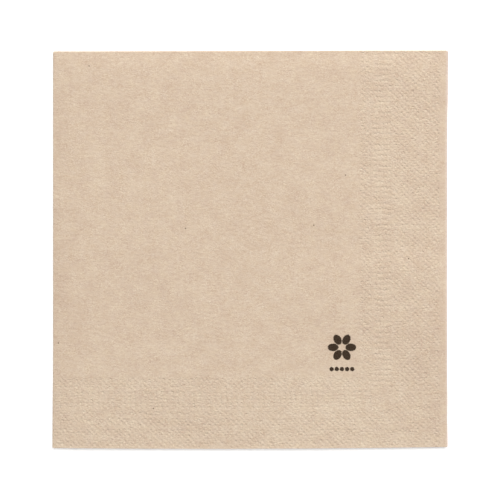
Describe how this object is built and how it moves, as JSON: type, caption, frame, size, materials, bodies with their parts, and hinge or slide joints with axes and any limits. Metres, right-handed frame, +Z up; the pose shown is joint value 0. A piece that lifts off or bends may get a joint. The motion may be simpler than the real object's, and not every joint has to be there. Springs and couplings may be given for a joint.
{
  "type": "paper napkin",
  "caption": "Square two-ply kraft-brown paper napkin folded in quarters, lying flat, with an embossed border along its two open sides.",
  "frame": {"origin": "on the surface that the napkin lies on, under the middle of its folded outline", "axes": "+X from the first fold towards the open side, +Y towards the second fold, +Z up through the layers"},
  "size_m": [0.1992, 0.201, 0.0024],
  "materials": {
    "kraft_tissue": "unbleached recycled tissue, matt and finely creped, with fibre flecks and an embossed border"
  },
  "bodies": {
    "root": {"napkin": "kraft_tissue"}
  },
  "joints": []
}
